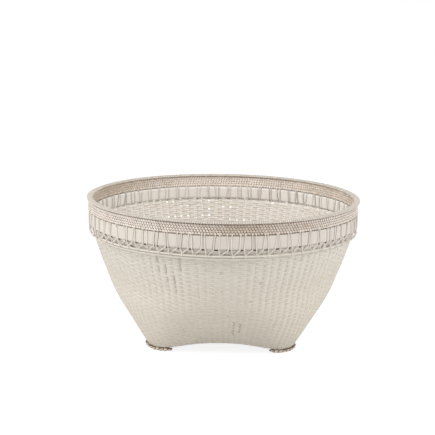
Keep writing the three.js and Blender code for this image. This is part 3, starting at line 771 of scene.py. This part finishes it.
# Pairs for the outer and the inner hoop, with how dark their painted shadow lines are round the turn.
PAIRS_OUTSIDE = Pairs(5, 1.25, 0.7, [(0.0, 1.0), (1.0, 1.0)])
PAIRS_INSIDE = Pairs(6, 0.95, 0.7, [
    (0.0, 0.8), (0.25, 1.6), (0.42, 1.6), (0.49, 0.8), (0.53, 0.4), (0.6, 0.5), (0.65, 1.4), (0.75, 1.4),
    (1.0, 0.8)])


def hoop(name, inner, pairs, material):
    """A flat hoop with slightly rounded edges, with its inner face at the radius inner."""
    outer, rounding = inner + HOOP_THICKNESS, 0.7
    heights = np.linspace(HOOP_LOW, HOOP_TOP, 9)[1:-1]
    outside = [(outer - rounding, HOOP_LOW), (outer, HOOP_LOW + rounding)]
    outside += [(outer, z) for z in heights]
    outside += [(outer, HOOP_TOP - rounding), (outer - rounding, HOOP_TOP)]
    inside = [(inner + rounding, HOOP_TOP)]
    inside += [(inner, z) for z in heights[::-1]]
    inside += [(inner + rounding, HOOP_LOW)]
    return ring_piece(name, outside + inside, 24 * PAIRS, material, pairs.shade)


OUTER_HOOP_RADIUS = RIM_RADIUS + HOOP_GAP
INNER_HOOP_RADIUS = RIM_RADIUS - WALL_THICKNESS - HOOP_GAP - HOOP_THICKNESS
hand_in(hoop("hoop_outside", OUTER_HOOP_RADIUS, PAIRS_OUTSIDE, HOOP_FINISH), "hoop", "outer_hoop")
hand_in(hoop("hoop_inside", INNER_HOOP_RADIUS, PAIRS_INSIDE, INNER_HOOP_FINISH), "hoop", "inner_hoop")

for number in range(COIL_RODS):
    middle = COIL_LOW + number * COIL_PITCH + COIL_ROD / 2
    outline = oval(COIL_RADIUS, middle, COIL_ROD, COIL_ROD)
    rod = ring_piece(f"coil_cane_{number + 1}", outline, 240, ROD_FINISH)
    hand_in(rod, "coil", f"coil_rod_{number + 1}")

# How dark the coil's stitches are, at shares of a turn from the front: bare cane, and painted shade set
# place by place round the rim.
COIL_OUTSIDE = [
    (0.0, 1.0), (0.03, 0.95), (0.08, 0.6), (0.14, 0.1), (0.25, 0.2), (0.75, 0.1), (0.85, 0.0), (0.91, 0.1),
    (0.97, 0.45), (1.0, 1.0)]
COIL_INSIDE = [
    (0.0, 0.4), (0.25, 0.75), (0.34, 0.6), (0.45, 0.05), (0.55, 0.1), (0.66, 1.0), (0.75, 1.0), (1.0, 0.4)]


# How far the stitches lie off the canes and sink in between two canes, and how many stitches they lean to
# the side on the way down, more in some places of the rim than in others.
STITCH_THICKNESS, STITCH_RISE, STITCH_SINK, STITCH_LEAN, LEAN_SWING = 1.1, 0.35, 0.75, 1.7, 0.2


def coil_stitches():
    """One strand that winds round the whole stack of coil canes. It spreads over each cane and draws in
    between two canes, where it leaves a row of small gaps. A pass has a slant, its least girth between
    two canes, how much painted shade darkens its edges there, and how dark it is round the rim, from bare
    cane and painted shade."""
    source = np.random.default_rng(8)
    pitch = 2 * math.pi * COIL_RADIUS / COIL_STITCHES
    share = np.arange(4 * COIL_RODS + 1) / (4 * COIL_RODS)
    bulge = np.abs(np.sin(math.pi * COIL_RODS * share)) ** 0.9
    width = bulge ** 1.6
    out = COIL_ROD / 2 + STITCH_RISE - STITCH_SINK * (1 - bulge)
    out[[0, -1]] = 2.9, 1.4
    drop = COIL_TOP - (COIL_TOP - COIL_LOW) * share
    drop[[0, -1]] = COIL_TOP + 1.2, COIL_LOW - 0.65
    points, faces, girths, tones, worn = [], [], [], [], []
    for loop in range(COIL_STITCHES):
        start = loop / COIL_STITCHES
        lean = STITCH_LEAN + LEAN_SWING * math.sin(4 * math.pi * start)
        turn = start + share * lean / COIL_STITCHES
        back = start + (lean + (1 - lean) * share) / COIL_STITCHES
        points += [around(turn, COIL_RADIUS + out, drop), around(back, COIL_RADIUS - out, drop[::-1])]
        faces += [around(turn, 1.0, 0.0), around(back, -1.0, 0.0)]
        bare = source.uniform(-0.12, 0.12)
        passes = ((lean, 0.4, 0.4, COIL_OUTSIDE), (1 - lean, 0.72, -0.15, COIL_INSIDE))
        for slant, least, shade_amount, shades in passes:
            upright = math.cos(math.atan(slant * pitch / (COIL_TOP - COIL_LOW)))
            girth = (least + (1.15 - least) * width) * upright * source.uniform(0.95, 1.04)
            girth[[0, -1]] = 1.0
            girths.append(girth)
            tones.append(np.full(len(share), np.interp(start, *zip(*shades)) + bare))
            worn.append(shade_amount - (shade_amount + 0.5) * width)
    path = {"points": np.concatenate(points), "faces": np.concatenate(faces),
            "girth": np.concatenate(girths), "tone": np.concatenate(tones), "worn": np.concatenate(worn)}
    return dress(path_object("coil_stitching", [path]), STRIP, {
        "Width": pitch * MM, "Thickness": STITCH_THICKNESS * MM, "Sides": 8, "Squareness": 0.35,
        "Material": STITCH_FINISH})


hand_in(coil_stitches(), "strand", "coil_binding")


def border_wrapping():
    """One strand wound closely round the two canes on top of the rim."""
    turn = np.arange(240) / 240
    line = {"points": around(turn, COIL_RADIUS, BORDER_MIDDLE), "faces": around(turn, 1.0, 0.0),
            "closed": True}
    return dress(path_object("border_wrapping", [line]), WINDING, {
        "Turns": BORDER_TURNS, "Steps": 14, "Oval Width": (BORDER_WIDTH - BORDER_STRAND) * MM,
        "Oval Height": (BORDER_HEIGHT - BORDER_STRAND) * MM, "Width": 3.95 * MM,
        "Thickness": BORDER_STRAND * MM, "Sides": 8, "Squareness": 1.0, "Unevenness": 0.0, "Seed": 1,
        "Material": BORDER_FINISH})


hand_in(border_wrapping(), "strand", "border_wrap")

for side, place in ((1, "outer"), (-1, "inner")):
    radius = COIL_RADIUS + side * BORDER_CANE_OFFSET
    outline = oval(radius, BORDER_MIDDLE, BORDER_CANE_WIDTH, BORDER_CANE_HEIGHT)
    cane = ring_piece(f"border_cane_{place}", outline, 160, CORE_FINISH)
    hand_in(cane, "core", f"border_core_{place}")

# The lower rod, in shares of a turn: where its tail starts, how long it is, and where the tail, which lies
# lower, climbs to the height of the head. Then the radius of the rod's middle, where the strands hook on.
ROD_START, ROD_LENGTH, CLIMB_START, CLIMB_END, TAIL_DROP = 0.045, 1.22, 0.23, 0.31, 4.7
HOOK_RADIUS = half_width(LOWER_ROD_HEIGHT + 2) + LOWER_ROD_GAP + LOWER_ROD / 2


def lower_rod():
    """A thin round cane under the outer hoop: its tail lies under its head along the front and the left."""
    turn = np.linspace(ROD_START, ROD_START - ROD_LENGTH, 300)
    height = LOWER_ROD_HEIGHT - TAIL_DROP * (1 - smoothstep(ROD_START - turn, CLIMB_START, CLIMB_END))
    radius = half_width(height + 2) + LOWER_ROD_GAP + LOWER_ROD / 2 + ripple(turn, 0.15, 3)
    height = height + ripple(turn, 0.3, 4)
    path = {"points": around(turn, radius, height), "faces": around(turn, 1.0, 0.0), "tone": 0.4}
    return dress(path_object("rod_under_hoop", [path]), STRIP, {
        "Width": LOWER_ROD * MM, "Thickness": LOWER_ROD * MM, "Sides": 10, "Squareness": 1.0,
        "Material": STRAND_FINISH})


hand_in(lower_rod(), "strand", "lower_rod")


# Heights of a lashing strand on its way down the outer hoop and the inner one.
OUTSIDE_DOWN = np.array([268.6, 267.2, 265.0, 262.5, 256.0, 250.0, 244.0, 238.5, 236.2])
INSIDE_DOWN = np.array([268.6, 267.2, 265.0, 262.5, 256.0, 250.0, 244.0, 238.5, 236.0, 234.5])

# From the hoop round the lower rod: the share of the way sideways to the knot, and the distances outward
# and upward from the middle of the rod.
HOOK = np.array([
    [0.35, 2.0, 9.35], [0.85, 2.2, 3.85], [1.0, 2.5, 1.0], [1.0, 2.7, -0.6], [1.0, 1.2, -2.5],
    [1.0, -1.2, -2.5], [1.0, -2.5, 0.0]])
HOOK_GIRTHS = [0.8, 0.7, 0.72, 0.8, 0.8, 0.8, 0.8]

# The two strands of a knot come from neighbouring pairs. It lies at this share of the way between them, and
# they keep this far apart there. Over the coil and the hoops a strand's middle lies this far off the cane.
KNOT_PLACE, KNOT_SPREAD = 0.28, 0.034
OFF_COIL, OFF_HOOP = 0.9, 0.45


def lashing():
    """Pairs of strands over the hoops. Outside they reach down to the lower rod in a zigzag."""
    source = np.random.default_rng(5)
    paths = []
    slim = np.concatenate([np.ones(len(OUTSIDE_DOWN)), HOOK_GIRTHS])
    for number in range(PAIRS):
        for side in (-1, 1):
            turn = PAIRS_OUTSIDE.turn(number, side, OUTSIDE_DOWN)
            radius = np.where(OUTSIDE_DOWN > HOOP_TOP + 0.5, COIL_RADIUS + COIL_ROD / 2 + OFF_COIL,
                              OUTER_HOOP_RADIUS + HOOP_THICKNESS + OFF_HOOP)
            radius[0] = COIL_RADIUS + 0.5
            ahead = KNOT_PLACE if side > 0 else KNOT_PLACE - 1
            knot = PAIRS_OUTSIDE.middle[number] + (ahead - side * KNOT_SPREAD) / PAIRS
            hook_turn = turn[-1] + (knot - turn[-1]) * HOOK[:, 0]
            hook = around(hook_turn, HOOK_RADIUS + HOOK[:, 1], LOWER_ROD_HEIGHT + HOOK[:, 2])
            points = np.concatenate([around(turn, radius, OUTSIDE_DOWN), hook])
            out = points * [1, 1, 0]
            out /= np.linalg.norm(out, axis=1, keepdims=True)
            faces = out.copy()
            faces[0] = [0, 0, 1]
            faces[-3:-1] = [0, 0, -1]
            faces[-1] = -out[-1]
            paths.append({"points": points, "faces": faces, "tone": source.random(),
                          "girth": source.uniform(0.9, 1.1) * slim})
            turn = PAIRS_INSIDE.turn(number, side, INSIDE_DOWN)
            radius = np.where(INSIDE_DOWN > HOOP_TOP + 0.5, COIL_RADIUS - COIL_ROD / 2 - OFF_COIL,
                              INNER_HOOP_RADIUS - OFF_HOOP)
            radius[0] = COIL_RADIUS - 0.5
            radius[-1] = half_width(INSIDE_DOWN[-1]) - 1.5
            paths.append({"points": around(turn, radius, INSIDE_DOWN), "faces": around(turn, -1.0, 0.0),
                          "tone": source.random(), "girth": source.uniform(0.68, 0.85)})
    return dress(path_object("lashing_strands", paths), STRIP, {
        "Width": 2.5 * MM, "Thickness": 1.0 * MM, "Sides": 8, "Squareness": 1.0,
        "Material": LASHING_FINISH})


hand_in(lashing(), "strand", "hoop_lashing")


# Feet.

def foot_line(corner):
    """The middle line of a foot round a corner of the base. It stops 3 mm short of both ends."""
    half, round_off = BASE_HALF_WIDTH - FOOT_INSET, BASE_CORNER - FOOT_INSET
    outline = 8 * (half - round_off) + 2 * math.pi * round_off
    share = (corner + 0.5) / 4 + np.linspace(-0.5, 0.5, 41) * (FOOT_SPAN - 6) / outline
    x, y = rounded_square(share, half, round_off)
    z = BASE_EDGE + arch(share) + FOOT_OVERLAP - FOOT_RADIUS
    return np.stack([x, y, z], axis=-1)


for corner, place in enumerate(("front_right", "rear_right", "rear_left", "front_left")):
    line = foot_line(corner)
    up = np.tile([0.0, 0.0, 1.0], (len(line), 1))
    cane = dress(path_object(f"foot_cane_{place}", [{"points": line, "faces": up}]), STRIP, {
        "Width": FOOT_CANE * MM, "Thickness": FOOT_CANE * MM, "Sides": 10, "Squareness": 1.0,
        "Material": CORE_FINISH})
    hand_in(cane, "core", f"foot_{place}_core")
    wrap = path_object(f"foot_wrapping_{place}", [{"points": line[2:-2], "faces": up[2:-2]}])
    dress(wrap, WINDING, {
        "Turns": FOOT_TURNS, "Steps": 16, "Oval Width": FOOT_WIDTH * MM, "Oval Height": FOOT_HEIGHT * MM,
        "Width": FOOT_STRAND_WIDTH * MM, "Thickness": FOOT_STRAND * MM, "Sides": 10, "Squareness": 1.0,
        "Unevenness": 1.1, "Lumps": 130.0, "Seed": corner, "Material": FOOT_FINISH})
    # The wrapping is worn flat where it stands on the floor.
    for point in wrap.data.vertices:
        point.co.z = max(point.co.z, 0.0)
    hand_in(wrap, "strand", f"foot_{place}_wrap")


# Studio.

def looked_at(net):
    """Whether a ray comes from the camera, a reflection or a clear material."""
    rays = net.put("ShaderNodeLightPath")
    camera_ray, glossy, through = (Term(net, rays.outputs[f"Is {kind} Ray"])
                                   for kind in ("Camera", "Glossy", "Transmission"))
    return net.call("MAXIMUM", camera_ray, net.call("MAXIMUM", glossy, through))


def paper():
    """Grey for the light that it throws back, and almost white for the eye, with soft shadows."""
    material = bpy.data.materials.new("paper")
    material.use_nodes = True
    net = Net(material.node_tree)
    net.tree.nodes.remove(net.tree.nodes["Principled BSDF"])
    plain = net.put("ShaderNodeBsdfDiffuse", {"Color": (0.76, 0.76, 0.76, 1)})
    shaded = net.put("ShaderNodeBsdfDiffuse", {"Color": (0.25, 0.25, 0.25, 1)})
    white = net.put("ShaderNodeEmission", {"Color": (1, 1, 1, 1), "Strength": 0.86})
    seen = net.put("ShaderNodeAddShader", {0: shaded.outputs[0], 1: white.outputs[0]})
    both = net.put("ShaderNodeMixShader", {0: looked_at(net), 1: plain.outputs[0], 2: seen.outputs[0]})
    net.feed(net.tree.nodes["Material Output"].inputs["Surface"], both.outputs[0])
    return material


def white_room():
    """A world that lights softly from all sides, and that the eye sees as pure white."""
    world = bpy.data.worlds.new("studio")
    world.use_nodes = True
    net = Net(world.node_tree)
    light = net.put("ShaderNodeBackground", {"Color": (1, 1, 1, 1), "Strength": 0.56})
    seen = net.put("ShaderNodeBackground", {"Color": (1, 1, 1, 1), "Strength": 1.0})
    mix = net.put("ShaderNodeMixShader", {0: looked_at(net), 1: light.outputs[0], 2: seen.outputs[0]})
    net.feed(net.tree.nodes["World Output"].inputs["Surface"], mix.outputs[0])
    return world


# Name, place in metres and power in watts of each lamp. All are square, and aim at the middle of the wall.
LAMPS = [
    ("right", (2.6, -0.7, 1.6), 38.5), ("left", (-2.6, -0.7, 1.6), 35.5), ("top", (-0.65, -1.5, 3.0), 48.0)]
LAMP_SIZE, LAMP_TARGET, FLOOR_REACH = 1.6, Vector((0, 0, 0.15)), 6


def studio():
    scene = bpy.context.scene
    scene.view_settings.view_transform = "Standard"
    scene.world = white_room()
    floor = bpy.data.meshes.new("floor")
    corners = [(FLOOR_REACH * x, FLOOR_REACH * y, 0) for x, y in ((-1, -1), (1, -1), (1, 1), (-1, 1))]
    floor.from_pydata(corners, [], [(0, 1, 2, 3)])
    floor.materials.append(paper())
    floor = bpy.data.objects.new("floor", floor)
    scene.collection.objects.link(floor)
    for name, spot, power in LAMPS:
        light = bpy.data.lights.new(name, "AREA")
        light.size, light.energy = LAMP_SIZE, power
        lamp = bpy.data.objects.new(name, light)
        lamp.location = spot
        lamp.rotation_euler = (LAMP_TARGET - Vector(spot)).to_track_quat("-Z", "Y").to_euler()
        scene.collection.objects.link(lamp)


# The photograph's camera, fitted to the rim. Pixels of the photo give its focal length and the point that
# the middle of the rim falls on.
PHOTO_SIZE, FOCAL_PIXELS, RIM_ACROSS, RIM_DOWN = 435, 1364.95, 223.0, 196.5
RIM_MIDDLE, CAMERA_DISTANCE, SENSOR = Vector((0, 0, 0.28815)), 2.8, 36.0
CAMERA_RISE, CAMERA_ROLL = math.radians(10.23), math.radians(-0.9)


def camera():
    """2.8 m from the middle of the rim, ten degrees above it and rolled a little."""
    spot = RIM_MIDDLE + CAMERA_DISTANCE * Vector((0, -math.cos(CAMERA_RISE), math.sin(CAMERA_RISE)))
    ahead = (RIM_MIDDLE - spot).normalized()
    right = Vector((1, 0, 0))
    above = right.cross(ahead)
    middle = PHOTO_SIZE / 2
    aim = (ahead * FOCAL_PIXELS + right * (middle - RIM_ACROSS) - above * (middle - RIM_DOWN)).normalized()
    side = Matrix.Rotation(CAMERA_ROLL, 3, aim) @ aim.cross(Vector((0, 0, 1))).normalized()
    data = bpy.data.cameras.new("camera")
    data.sensor_width = SENSOR
    data.lens = FOCAL_PIXELS / PHOTO_SIZE * SENSOR
    eye = bpy.data.objects.new("camera", data)
    turn = Matrix((side, side.cross(aim), -aim)).transposed()
    eye.matrix_world = Matrix.Translation(spot) @ turn.to_4x4()
    bpy.context.scene.collection.objects.link(eye)
    bpy.context.scene.camera = eye


studio()
camera()
